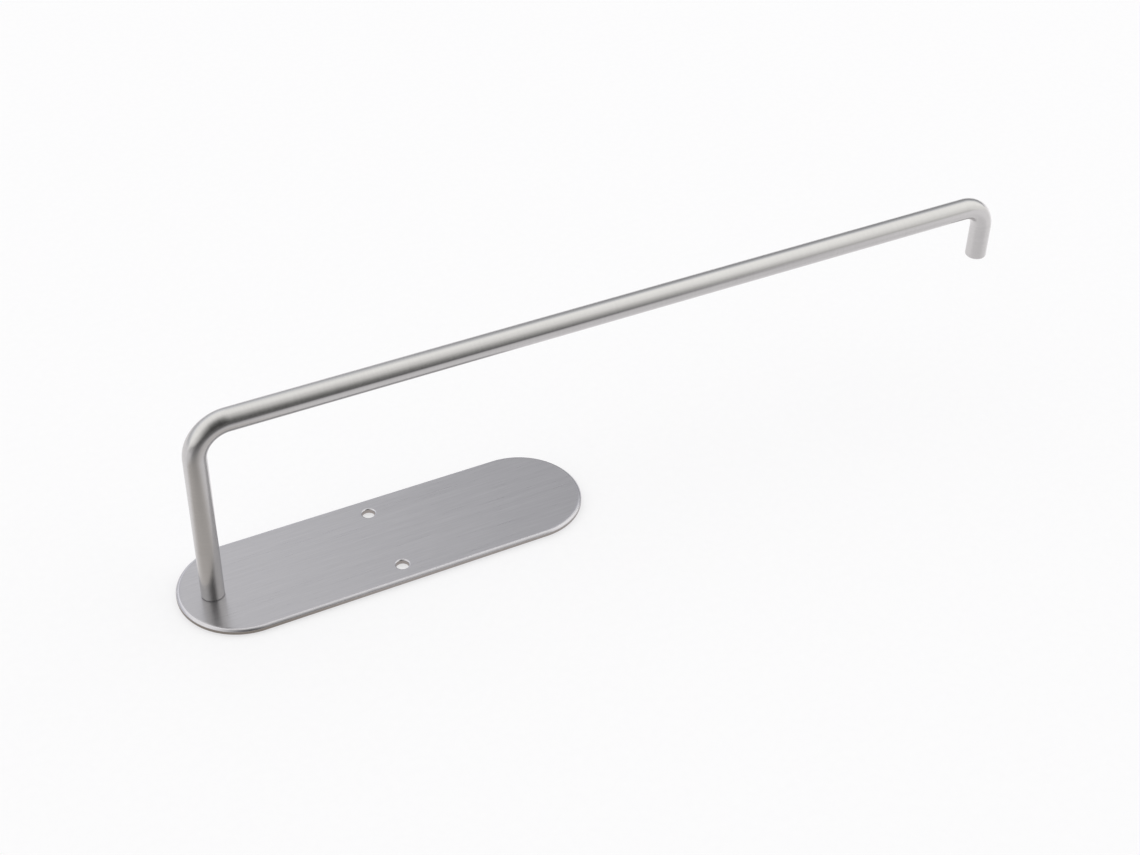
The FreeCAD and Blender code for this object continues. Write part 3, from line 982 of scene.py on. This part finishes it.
class HOLDER_OT_towel_bar(bpy.types.Operator):
    """Build the bent bar, from the tapped hole in its foot to the round of its hook"""

    bl_idname = "holder.towel_bar"
    bl_label = "Towel Bar"

    spokes = 96

    def bore(self, settings, screw):
        """Rings from the drill's cone down the tapped hole and out over the foot."""
        spokes = self.spokes
        angles = np.arange(spokes) * 2 * math.pi / spokes
        mouth = BAR_LOW.z + settings.foot_bevel
        bottom = BAR_LOW.z + settings.bore_depth
        rings = []
        count = round((bottom - mouth) / screw.pitch * RINGS_A_TURN)
        for step in range(count + 1):
            height = bottom + (mouth - bottom) * step / count
            cut = thread_depth(angles, height, screw, mouth, bottom)
            radius = settings.bore_radius - cut
            rings.append(circle_ring((LEG_X, 0, height), radius, spokes))
        foot = BAR_RADIUS - settings.foot_bevel
        hold = 0.1 * MM
        for radius in (settings.mouth_radius, settings.mouth_radius + hold, foot - hold, foot):
            rings.append(circle_ring((LEG_X, 0, BAR_LOW.z), radius, spokes))
        return rings

    def centreline(self, settings):
        """Points and headings from the top of the foot's bevel to the start of the tip's round."""
        bar_z = BAR_HIGH.z - BAR_RADIUS
        hook_x = BAR_HIGH.x - BAR_RADIUS
        hook_z = hook_end_height()
        foot_z = BAR_LOW.z + settings.foot_bevel
        hold = 0.15 * MM
        runs = []

        def straight(start, end, steps):
            heading = (Vector(end) - Vector(start)).normalized()
            for step in range(steps):
                runs.append((Vector(start).lerp(Vector(end), step / steps), heading))

        def bend(centre, radius, start, end, steps):
            for step in range(steps):
                angle = math.radians(start + (end - start) * step / steps)
                outward = Vector((math.cos(angle), 0, math.sin(angle)))
                runs.append((Vector(centre) + outward * radius, Vector((outward.z, 0, -outward.x))))

        leg_top = bar_z - settings.leg_bend
        bar_start = LEG_X + settings.leg_bend
        bar_end = hook_x - settings.hook_bend
        hook_top = bar_z - settings.hook_bend
        runs.append((Vector((LEG_X, 0, foot_z)), Vector((0, 0, 1))))
        straight((LEG_X, 0, foot_z + hold), (LEG_X, 0, leg_top), 14)
        bend((bar_start, 0, leg_top), settings.leg_bend, 180, 90, 36)
        straight((bar_start, 0, bar_z), (bar_end, 0, bar_z), 60)
        bend((bar_end, 0, hook_top), settings.hook_bend, 90, 0, 32)
        straight((hook_x, 0, hook_top), (hook_x, 0, hook_z + settings.tip_round), 6)
        return runs, Vector((hook_x, 0, hook_z))

    def execute(self, context):
        settings = context.scene.towel_bar
        skin = new_skin()
        bm = skin[0]
        runs, tip = self.centreline(settings)
        across = Vector((0, 1, 0))
        outside = [
            circle_ring(point, BAR_RADIUS, self.spokes, across.cross(way), across) for point, way in runs
        ]
        down = Vector((0, 0, -1))
        round_steps = 8
        for step in range(round_steps + 1):
            angle = math.radians(90 * step / round_steps)
            centre = tip - down * settings.tip_round * (1 - math.sin(angle))
            radius = BAR_RADIUS - settings.tip_round * (1 - math.cos(angle))
            outside.append(circle_ring(centre, radius, self.spokes, across.cross(down), across))
        hold = 0.15 * MM
        flat = BAR_RADIUS - settings.tip_round - hold
        outside.append(circle_ring(tip, flat, self.spokes, across.cross(down), across))
        rings = [place_ring(bm, points) for points in self.bore(settings, context.scene.bar_screw) + outside]
        around = girth(circle_ring((0, 0, 0), BAR_RADIUS, self.spokes))
        join_rings(skin, rings, around)
        drill_point = math.radians(118)
        cone = settings.bore_radius / math.tan(drill_point / 2)
        close_ring(skin, rings[0], (LEG_X, 0, BAR_LOW.z + settings.bore_depth + cone), first=True)
        close_ring(skin, rings[-1], tip)
        finish_piece("towel_bar_satin", skin, [satin_stainless_rod(settings)], "towel_bar")
        return {"FINISHED"}


def hook_end_height():
    """Height of the hook's end: the lowest CAD corner within the hook's thickness of the bar's right end."""
    hook_start = BAR_HIGH.x - 2 * BAR_RADIUS
    corners = [vertex.co for vertex in frame["nodes"]["towel_bar"].data.vertices]
    return min(corner.z for corner in corners if corner.x > hook_start)


class HOLDER_OT_base_plate(bpy.types.Operator):
    """Build the brushed plate, its bevels, its cut wall and its three holes"""

    bl_idname = "holder.base_plate"
    bl_label = "Base Plate"

    def execute(self, context):
        settings = context.scene.base_plate
        skin = new_skin()
        bm = skin[0]
        low, high = PLATE_LOW.z, PLATE_HIGH.z
        half_length, radius = (PLATE_HIGH.x - PLATE_LOW.x) / 2, (PLATE_HIGH.y - PLATE_LOW.y) / 2
        hold = 0.2 * MM
        hair = 0.001 * MM
        face, bevel, wall = 0, 1, 2
        spine = stadium_spine(half_length, radius, 72, 60)
        around = girth(spine_ring(spine, radius, 0.0))
        underside = [(settings.deburr + hold, low), (settings.deburr, low), (0.0, low + settings.deburr)]
        # The upper edge's rounding runs this far down the wall.
        run_down = 0.45 * MM
        waist = (0.0, high - settings.bevel - run_down)
        upper = [waist, (0.0, high - settings.bevel), (settings.bevel, high), (settings.bevel + MM, high)]
        outline = soften([*underside, waist], settings.corner_round)[:-1]
        outline += soften(upper, settings.edge_round, steps=5)
        rings = [place_ring(bm, spine_ring(spine, radius - inset, height)) for inset, height in outline]
        wall_start, wall_end = low + settings.deburr, high - settings.bevel - 0.1 * MM
        for lower, upper, before, after in zip(rings, rings[1:], outline, outline[1:]):
            middle = (before[1] + after[1]) / 2
            if wall_start < middle < wall_end:
                join_rings(skin, [lower, upper], around, wall, grain_round=False)
            else:
                join_rings(skin, [lower, upper], around, bevel if middle < high - hair else face)
        tops, bottoms = [rings[-1]], [rings[0]]
        screws = MOUNTS["wall_screws"]["dims"]
        hole_radius = screws["hole_r_mm"] * MM
        hole = soften(
            [
                (hole_radius + settings.hole_bevel + 2 * hold, high),
                (hole_radius + settings.hole_bevel, high),
                (hole_radius, high - settings.hole_bevel),
                (hole_radius, low + settings.deburr),
                (hole_radius + settings.deburr, low),
                (hole_radius + settings.deburr + hold, low),
            ],
            settings.edge_round,
            steps=5,
        )
        seat = soften(
            [
                (settings.passage_radius + hold, high),
                (settings.passage_radius, high),
                (settings.passage_radius, low + settings.seat_depth),
                (settings.seat_radius, low),
                (settings.seat_radius + hold, low),
            ],
            settings.corner_round / 2,
        )
        spacing = screws["spacing_y_mm"] * MM
        places = [((0, side * spacing / 2), hole) for side in (-1, 1)] + [((LEG_X, 0), seat)]
        for centre, profile in places:
            ring_spine = circle_spine(centre, 64)
            hole_rings = [place_ring(bm, spine_ring(ring_spine, reach, height)) for reach, height in profile]
            hole_around = girth(spine_ring(ring_spine, hole_radius, 0.0))
            for upper, lower, before, after in zip(hole_rings, hole_rings[1:], profile, profile[1:]):
                upright = abs(before[0] - after[0]) < 10 * hair
                finish = bevel
                if upright:
                    finish = wall
                elif abs(before[1] - after[1]) < hair:
                    finish = face
                join_rings(skin, [upper, lower], hole_around, finish, grain_round=not upright)
            tops.append(hole_rings[0])
            bottoms.append(hole_rings[-1])
        fill_face(skin, tops, True, face)
        fill_face(skin, bottoms, False, face)
        finishes = [
            brushed_stainless_sheet(settings),
            linished_steel_bevel(settings),
            cut_steel_edge(settings),
        ]
        finish_piece("base_plate_brushed", skin, finishes, "base_plate")
        return {"FINISHED"}


class HOLDER_OT_bar_screw(bpy.types.Operator):
    """Build the countersunk screw with its hexagon socket and rolled thread"""

    bl_idname = "holder.bar_screw"
    bl_label = "Bar Screw"

    spokes = 96

    def execute(self, context):
        settings = context.scene.bar_screw
        skin = new_skin()
        bm = skin[0]
        spokes = self.spokes
        angles = np.arange(spokes) * 2 * math.pi / spokes
        face_z, tip_z = SCREW_LOW.z, SCREW_HIGH.z
        head_radius = (SCREW_HIGH.x - SCREW_LOW.x) / 2
        to_flat = np.mod(angles + math.pi / 6, math.pi / 3) - math.pi / 6
        hexagon = settings.socket_width / 2 / np.cos(to_flat)
        socket_floor = face_z + settings.socket_depth
        # The round lead-in to the socket is this deep, and this much wider than the hexagon's corners.
        lead_in, widening = 0.35 * MM, 0.08 * MM
        mouth = float(hexagon.max()) + widening
        edge = 0.1 * MM
        points = [
            circle_ring((LEG_X, 0, socket_floor), hexagon * 0.9, spokes),
            circle_ring((LEG_X, 0, socket_floor - edge), hexagon, spokes),
            circle_ring((LEG_X, 0, face_z + lead_in), hexagon, spokes),
        ]
        under = settings.head_height + face_z
        tip_bevel = 0.5 * MM
        shank_end = tip_z - tip_bevel
        head = soften(
            [
                (mouth, face_z),
                (head_radius - edge, face_z),
                (head_radius, face_z + edge),
                (head_radius, face_z + 0.15 * MM),
                (settings.shank_radius, under),
                (settings.shank_radius, under + 0.2 * MM),
            ],
            0.06 * MM,
        )
        points += [circle_ring((LEG_X, 0, height), radius, spokes) for radius, height in head]
        thread_start = under + 0.3 * MM
        count = round((shank_end - thread_start) / settings.pitch * RINGS_A_TURN)
        for step in range(count + 1):
            height = thread_start + (shank_end - thread_start) * step / count
            cut = thread_depth(angles, height, settings, thread_start, tip_z)
            points.append(circle_ring((LEG_X, 0, height), settings.shank_radius - cut, spokes))
        for step in (1, 2, 3):
            height = shank_end + (tip_z - shank_end) * step / 3
            cut = thread_depth(angles, height, settings, thread_start, tip_z)
            bevelled = settings.shank_radius - (height - shank_end)
            radius = np.minimum(settings.shank_radius - cut, bevelled)
            points.append(circle_ring((LEG_X, 0, height), radius, spokes))
        rings = [place_ring(bm, ring) for ring in points]
        join_rings(skin, rings, girth(circle_ring((0, 0, 0), settings.shank_radius, spokes)))
        punch_point = 0.35 * MM
        close_ring(skin, rings[0], (LEG_X, 0, socket_floor + punch_point), first=True)
        close_ring(skin, rings[-1], (LEG_X, 0, tip_z))
        finish_piece("bar_screw_turned", skin, [turned_stainless_screw(settings)], "bar_screw")
        return {"FINISHED"}


def cut_outs(pad):
    """Centre and radius of each hole through the pad and its liner."""
    spacing = MOUNTS["wall_screws"]["dims"]["spacing_y_mm"] * MM
    round_wall_screws = [((0, side * spacing / 2), pad.wall_hole) for side in (-1, 1)]
    return [*round_wall_screws, ((LEG_X, 0), pad.head_hole)]


class HOLDER_OT_adhesive_pad(bpy.types.Operator):
    """Build the die-cut foam pad, with a crowned, open-celled cut edge"""

    bl_idname = "holder.adhesive_pad"
    bl_label = "Adhesive Pad"

    def cut_edge(self, settings, spine, reach, outwards):
        """Rings up a cut edge that pulls in at both skins, roughened by its cells."""
        rings = []
        steps = 10
        thickness = PAD_HIGH.z - PAD_LOW.z
        for step in range(steps + 1):
            share_up = step / steps
            height = PAD_LOW.z + thickness * share_up
            sunk = settings.pull_in * (2 * share_up - 1) ** 4
            points = spine_ring(spine, reach - outwards * sunk, height)
            if 0 < step < steps:
                for index, point in enumerate(points):
                    cell = noise.noise(Vector(point) / settings.cell_size)
                    dent = settings.cell_depth * (0.5 + 0.5 * cell)
                    points[index] -= outwards * dent * spine[1][index]
            rings.append(points)
        return rings

    def execute(self, context):
        settings = context.scene.adhesive_pad
        skin = new_skin()
        bm = skin[0]
        half_length, radius = PAD_HIGH.x, (PAD_HIGH.y - PAD_LOW.y) / 2
        spine = stadium_spine(half_length, radius, 180, 300)
        around = girth(spine_ring(spine, radius, 0.0))
        rings = [place_ring(bm, points) for points in self.cut_edge(settings, spine, radius, 1)]
        join_rings(skin, rings, around)
        bottoms, tops = [rings[0]], [rings[-1]]
        for centre, reach in cut_outs(settings):
            hole_spine = circle_spine(centre, 96)
            hole_around = girth(spine_ring(hole_spine, reach, 0.0))
            points = self.cut_edge(settings, hole_spine, reach, -1)[::-1]
            hole_rings = [place_ring(bm, ring) for ring in points]
            join_rings(skin, hole_rings, hole_around)
            tops.append(hole_rings[0])
            bottoms.append(hole_rings[-1])
        fill_face(skin, tops, True)
        fill_face(skin, bottoms, False)
        pad = finish_piece("adhesive_pad_foam", skin, [foam_tape(settings)], "adhesive_pad")
        return {"FINISHED"}


class HOLDER_OT_release_liner(bpy.types.Operator):
    """Build the release film, with a slight ripple along the rim that the pad leaves free"""

    bl_idname = "holder.release_liner"
    bl_label = "Release Liner"

    def execute(self, context):
        settings = context.scene.release_liner
        skin = new_skin()
        bm = skin[0]
        half_length, radius = LINER_HIGH.x, (LINER_HIGH.y - LINER_LOW.y) / 2
        low, high = LINER_LOW.z, LINER_HIGH.z
        spine = stadium_spine(half_length, radius, 96, 160)
        around = girth(spine_ring(spine, radius, 0.0))
        free_rim = PAD_LOW.y - LINER_LOW.y
        lift = settings.ripple * (0.5 + 0.5 * np.sin(around[:-1] * MM / settings.ripple_pitch * 2 * math.pi))
        crown = 0.02 * MM
        edge = [
            (free_rim, low, 0.0),
            (crown, low, 1.0),
            (0.0, (low + high) / 2, 1.0),
            (crown, high, 1.0),
            (free_rim, high, 0.0),
        ]
        rings = []
        for inset, height, rise in edge:
            rings.append(place_ring(bm, spine_ring(spine, radius - inset, height + rise * lift)))
        join_rings(skin, rings, around)
        bottoms, tops = [rings[0]], [rings[-1]]
        for centre, reach in cut_outs(context.scene.adhesive_pad):
            hole_spine = circle_spine(centre, 96)
            hole_around = girth(spine_ring(hole_spine, reach, 0.0))
            hole_rings = [place_ring(bm, spine_ring(hole_spine, reach, height)) for height in (high, low)]
            join_rings(skin, hole_rings, hole_around)
            tops.append(hole_rings[0])
            bottoms.append(hole_rings[-1])
        fill_face(skin, tops, True)
        fill_face(skin, bottoms, False)
        finishes = [embossed_release_film(settings)]
        finish_piece("release_liner_film", skin, finishes, "release_liner")
        return {"FINISHED"}


class HOLDER_OT_stage(bpy.types.Operator):
    """Lay the floor, light the studio and set up the camera"""

    bl_idname = "holder.stage"
    bl_label = "Stage"

    def lay_floor(self, settings):
        """A wide disc of opal acrylic just under the liner, denser towards its middle."""
        skin = new_skin()
        bm = skin[0]
        spokes = 96
        level = CAD_BOX[0].z - FLOOR_DROP
        shares = (1.0, 0.5, 0.2, 0.08)
        rings = [
            place_ring(bm, circle_ring((0, 0, level), settings.floor_reach * part, spokes)) for part in shares
        ]
        join_rings(skin, rings, girth(circle_ring((0, 0, 0), settings.floor_reach, spokes)))
        close_ring(skin, rings[-1], (0, 0, level))
        mesh = bpy.data.meshes.new("opal_floor")
        bm.to_mesh(mesh)
        bm.free()
        mesh.materials.append(opal_acrylic_floor(settings))
        floor = bpy.data.objects.new("opal_floor", mesh)
        bpy.context.scene.collection.objects.link(floor)

    def lay_card(self):
        """A glowing sheet just above the floor that only reflections see. It paints the dim, shadowed floor
        of a studio on the camera's side into the steel's reflections, while the floor itself stays pale."""
        # Nearly as wide as the floor, so that reflections meet the card as far as the horizon.
        # The sheet carries painted shade and painted shadows, not a real card's colour.
        reach = 4.9
        level = CAD_BOX[0].z - FLOOR_DROP / 2
        bm = bmesh.new()
        corners = [(x * reach, y * reach, level) for x, y in ((-1, -1), (1, -1), (1, 1), (-1, 1))]
        bm.faces.new([bm.verts.new(corner) for corner in corners])
        mesh = bpy.data.meshes.new("painted_reflection_card")
        bm.to_mesh(mesh)
        bm.free()
        mesh.materials.append(painted_reflection_shade())
        card = bpy.data.objects.new("painted_reflection_card", mesh)
        card.visible_camera = False
        card.visible_diffuse = False
        card.visible_transmission = False
        card.visible_volume_scatter = False
        card.visible_shadow = False
        bpy.context.scene.collection.objects.link(card)

    def light_studio(self, settings):
        """A bright bank overhead, a grey wall behind it and a dark bay in front, drawn as two sets of bands
        from the front horizon (0 degrees) over the top (90) to the back horizon (180)."""
        warm, cool = linear("#FFFEFC"), linear("#FAFBFF")
        # Degrees over the top, brightness, and shade.
        bay = (
            (0, 0.12, warm),
            (12, 0.06, warm),
            (25, 0.06, warm),
            (40, 0.11, warm),
            (52, 0.20, warm),
            (66, 0.45, warm),
            (80, 0.76, warm),
            (94, 1.02, warm),
            (108, 1.13, warm),
            (130, 1.17, warm),
            (141, 1.05, cool),
            (151, 0.84, cool),
            (165, 0.68, cool),
            (180, 0.60, cool),
        )
        bank = (
            (0, 0.95, warm),
            (12, 1.00, warm),
            (25, 1.04, warm),
            (40, 1.06, warm),
            (55, 1.14, warm),
            (70, 1.19, warm),
            (92, 1.22, warm),
            (104, 1.20, warm),
            (113, 1.14, warm),
            (121, 0.92, cool),
            (132, 0.64, cool),
            (148, 0.38, cool),
            (180, 0.42, cool),
        )
        world = bpy.data.worlds.new("studio")
        bpy.context.scene.world = world
        world.use_nodes = True
        tree = world.node_tree
        tree.nodes.clear()
        way = add_node(tree, "ShaderNodeTexCoord")
        parts = add_node(tree, "ShaderNodeSeparateXYZ", links={0: way.outputs["Generated"]})
        forwards = add_node(
            tree, "ShaderNodeMath", {"operation": "MULTIPLY"}, {1: -1.0}, {0: parts.outputs["Y"]}
        )
        swing = add_node(
            tree,
            "ShaderNodeMath",
            {"operation": "ARCTAN2"},
            links={0: parts.outputs["Z"], 1: forwards.outputs[0]},
        )
        half_turn = add_node(
            tree, "ShaderNodeMapRange", values={"From Max": math.pi}, links={"Value": swing.outputs[0]}
        )
        # A ramp's colours end at 1, so they hold each brightness as a share of this peak.
        peak = 1.25
        bands = [
            add_node(
                tree,
                "ShaderNodeValToRGB",
                links={0: half_turn.outputs["Result"]},
                stops=[(degrees / 180, tinted(shade, level / peak)) for degrees, level, shade in profile],
            )
            for profile in (bay, bank)
        ]
        # The bay's right-hand edge leans up to 52 degrees: it ends furthest right at the horizon.
        low_part = add_node(
            tree, "ShaderNodeMath", {"operation": "MINIMUM"}, {1: 52 / 180}, {0: half_turn.outputs["Result"]}
        )
        lean = add_node(
            tree,
            "ShaderNodeMath",
            {"operation": "MULTIPLY_ADD"},
            {1: 0.94},
            {0: low_part.outputs[0], 2: parts.outputs["X"]},
        )
        # Each runs smoothly from 0 to 1 while its source goes from start to end. In turn: the bay's
        # right-hand edge, its left-hand edge, the bank's edge at the back, and the change from front to
        # back overhead.
        sides = []
        for source, start, end in (
            (lean.outputs[0], 0.227, 0.787),
            (parts.outputs["X"], -0.25, -1.0),
            (parts.outputs["X"], 0.15, 0.42),
            (half_turn.outputs["Result"], 0.5, 0.6),
        ):
            sides.append(
                add_node(
                    tree,
                    "ShaderNodeMapRange",
                    {"interpolation_type": "SMOOTHSTEP"},
                    {"From Min": start, "From Max": end},
                    {"Value": source},
                )
            )
        in_front = add_node(
            tree,
            "ShaderNodeMath",
            {"operation": "MAXIMUM"},
            links={0: sides[0].outputs["Result"], 1: sides[1].outputs["Result"]},
        )
        either_side = add_node(
            tree,
            "ShaderNodeMix",
            {"data_type": "FLOAT"},
            links={
                "Factor": sides[3].outputs["Result"],
                "A": in_front.outputs[0],
                "B": sides[2].outputs["Result"],
            },
        )
        # A Mix node's colours are its sockets 6 and 7 and its output 2.
        surround = add_node(
            tree,
            "ShaderNodeMix",
            {"data_type": "RGBA"},
            links={
                "Factor": either_side.outputs["Result"],
                6: bands[0].outputs["Color"],
                7: bands[1].outputs["Color"],
            },
        )
        studio = add_node(
            tree,
            "ShaderNodeBackground",
            values={"Strength": settings.light},
            links={"Color": surround.outputs[2]},
        )
        backdrop = add_node(
            tree, "ShaderNodeBackground", values={"Color": (0.9, 0.9, 0.9, 1.0), "Strength": 1.0}
        )
        seen = add_node(tree, "ShaderNodeLightPath")
        either = add_node(
            tree,
            "ShaderNodeMixShader",
            links={0: seen.outputs["Is Camera Ray"], 1: studio.outputs[0], 2: backdrop.outputs[0]},
        )
        add_node(tree, "ShaderNodeOutputWorld", links={"Surface": either.outputs[0]})

    def set_camera(self, settings):
        """The camera, aimed at a point near the middle of the object's box."""
        flat = math.cos(settings.elevation)
        back = Vector(
            (
                math.sin(settings.azimuth) * flat,
                -math.cos(settings.azimuth) * flat,
                math.sin(settings.elevation),
            )
        )
        level = Vector((0, 0, 1)).cross(back).normalized()
        upright = back.cross(level)
        right = level * math.cos(settings.roll) + upright * math.sin(settings.roll)
        up = back.cross(right)
        middle = (CAD_BOX[0] + CAD_BOX[1]) / 2
        place = middle + Vector(settings.aim) + back * settings.distance
        data = bpy.data.cameras.new("camera")
        data.sensor_width = 36
        data.lens = settings.lens
        data.clip_start = 0.01
        data.clip_end = 50
        camera = bpy.data.objects.new("camera", data)
        bpy.context.scene.collection.objects.link(camera)
        camera.matrix_world = Matrix.Translation(place) @ Matrix((right, up, back)).transposed().to_4x4()
        bpy.context.scene.camera = camera

    def execute(self, context):
        settings = context.scene.stage_settings
        self.lay_floor(settings)
        self.lay_card()
        self.light_studio(settings)
        self.set_camera(settings)
        context.scene.view_settings.view_transform = "Standard"
        return {"FINISHED"}


GROUPS = (
    ("towel_bar", TowelBarSettings),
    ("base_plate", BasePlateSettings),
    ("bar_screw", BarScrewSettings),
    ("adhesive_pad", AdhesivePadSettings),
    ("release_liner", ReleaseLinerSettings),
    ("stage_settings", StageSettings),
)
OPERATORS = (
    HOLDER_OT_towel_bar,
    HOLDER_OT_base_plate,
    HOLDER_OT_bar_screw,
    HOLDER_OT_adhesive_pad,
    HOLDER_OT_release_liner,
    HOLDER_OT_stage,
)


class HOLDER_PT_pieces(bpy.types.Panel):
    """Lists the pieces and their sizes and colours"""

    bl_label = "Towel Holder"
    bl_space_type = "VIEW_3D"
    bl_region_type = "UI"
    bl_category = "Towel Holder"

    def draw(self, context):
        for (group, settings_class), operator in zip(GROUPS, OPERATORS):
            box = self.layout.box()
            box.operator(operator.bl_idname)
            for name in settings_class.__annotations__:
                box.prop(getattr(context.scene, group), name)


def register():
    for group, settings_class in GROUPS:
        bpy.utils.register_class(settings_class)
        setattr(bpy.types.Scene, group, PointerProperty(type=settings_class))
    for operator in OPERATORS:
        bpy.utils.register_class(operator)
    bpy.utils.register_class(HOLDER_PT_pieces)


def unregister():
    bpy.utils.unregister_class(HOLDER_PT_pieces)
    for operator in reversed(OPERATORS):
        bpy.utils.unregister_class(operator)
    for group, settings_class in reversed(GROUPS):
        delattr(bpy.types.Scene, group)
        bpy.utils.unregister_class(settings_class)


def main():
    register()
    bpy.ops.holder.towel_bar()
    bpy.ops.holder.base_plate()
    bpy.ops.holder.bar_screw()
    bpy.ops.holder.adhesive_pad()
    bpy.ops.holder.release_liner()
    bpy.ops.holder.stage()


if __name__ == "__main__":
    main()
